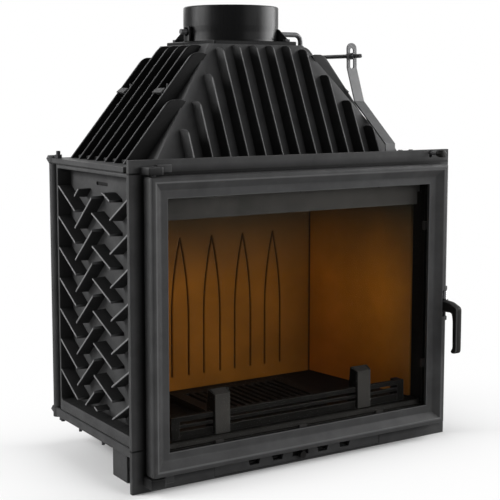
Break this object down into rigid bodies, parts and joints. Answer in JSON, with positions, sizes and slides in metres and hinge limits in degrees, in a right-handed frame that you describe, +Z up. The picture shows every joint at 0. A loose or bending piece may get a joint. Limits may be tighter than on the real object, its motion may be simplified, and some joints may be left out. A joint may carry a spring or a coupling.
{
  "type": "fireplace insert",
  "caption": "Cast iron wood-burning fireplace insert with a framed glass door, ribbed smoke hood, round flue collar, rocking damper control and a sliding air shutter.",
  "frame": {"origin": "middle of the front frame's bottom edge, on the floor, in the plane of the frame's front face", "axes": "+Z up, -Y out of the front towards the room, +X to the right as seen from the room"},
  "size_m": [0.7, 0.4335, 0.846],
  "materials": {
    "shell_iron": "matt heat-proof paint, near black",
    "dark_iron": "matt black",
    "black_steel": "satin black",
    "fastener_steel": "dark oxide, satin",
    "spring_steel": "bright",
    "chamber_lining": "matt, warm ochre brown",
    "door_glass": "clear heat-proof glass, slightly dark",
    "sealing_rope": "dark glass-fibre seal"
  },
  "bodies": {
    "firebox": {"front_frame": "shell_iron", "air_panel": "shell_iron", "air_panel_screws": "fastener_steel", "base_plate": "shell_iron", "top_plate": "shell_iron", "side_panel_left": "shell_iron", "side_panel_right": "shell_iron", "back_plate": "shell_iron", "front_feet": "shell_iron", "rear_feet": "shell_iron", "air_plenum": "black_steel", "ash_pan": "black_steel", "tie_rods": "fastener_steel", "tie_rod_nuts": "fastener_steel", "corner_bolts": "fastener_steel", "base_studs": "fastener_steel", "smoke_hood": "shell_iron", "hood_bolts": "fastener_steel", "lifting_lugs": "shell_iron", "flue_collar": "black_steel", "collar_bolts": "fastener_steel", "rocker_brackets": "fastener_steel", "back_liner": "chamber_lining", "side_liners": "chamber_lining", "lintel": "shell_iron", "baffle": "chamber_lining", "fire_grate": "dark_iron", "log_retainer": "dark_iron", "hinge_lugs": "shell_iron", "hinge_pins": "fastener_steel", "latch_catch": "black_steel", "catch_screws": "fastener_steel"},
    "door": {"door_frame": "shell_iron", "door_rope": "sealing_rope", "glass_gasket": "sealing_rope", "door_glass": "door_glass", "glass_clips": "fastener_steel", "clip_screws": "fastener_steel", "handle_pin": "fastener_steel", "handle_spring": "spring_steel"},
    "handle": {"door_handle": "dark_iron", "latch_finger": "fastener_steel"},
    "slider": {"air_slider": "dark_iron"},
    "rocker": {"rocker_lever": "fastener_steel", "control_knob": "dark_iron"},
    "damper": {"damper_shaft": "fastener_steel", "damper_plate": "dark_iron"},
    "link": {"link_rod": "fastener_steel", "link_nuts": "fastener_steel"}
  },
  "joints": [
    {"name": "door_hinge", "type": "hinge", "parent": "firebox", "child": "door", "pos_m": [-0.314, -0.019, 0.29], "axis": [0, 0, -1], "range_deg": [0, 110]},
    {"name": "handle_pivot", "type": "hinge", "parent": "door", "child": "handle", "pos_m": [0.325, -0.025, 0.265], "axis": [0, 0, 1], "range_deg": [-12, 25]},
    {"name": "air_slide", "type": "slide", "parent": "firebox", "child": "slider", "axis": [1, 0, 0], "range_m": [-0.013, 0.013]},
    {"name": "rocker_pivot", "type": "hinge", "parent": "firebox", "child": "rocker", "pos_m": [0.26, 0.022, 0.5645], "axis": [1, 0, 0], "range_deg": [0, 9]},
    {"name": "damper_pivot", "type": "hinge", "parent": "firebox", "child": "damper", "pos_m": [0, 0.246, 0.797], "axis": [1, 0, 0], "range_deg": [-45, 0]},
    {"name": "link_pivot", "type": "hinge", "parent": "damper", "child": "link", "pos_m": [0.166, 0.246, 0.753], "axis": [1, 0, 0], "range_deg": [0, 42.3]}
  ],
  "couplings": [
    {"joint": "damper_pivot", "follows": "rocker_pivot", "ratio": -5},
    {"joint": "link_pivot", "follows": "rocker_pivot", "ratio": 4.7}
  ]
}
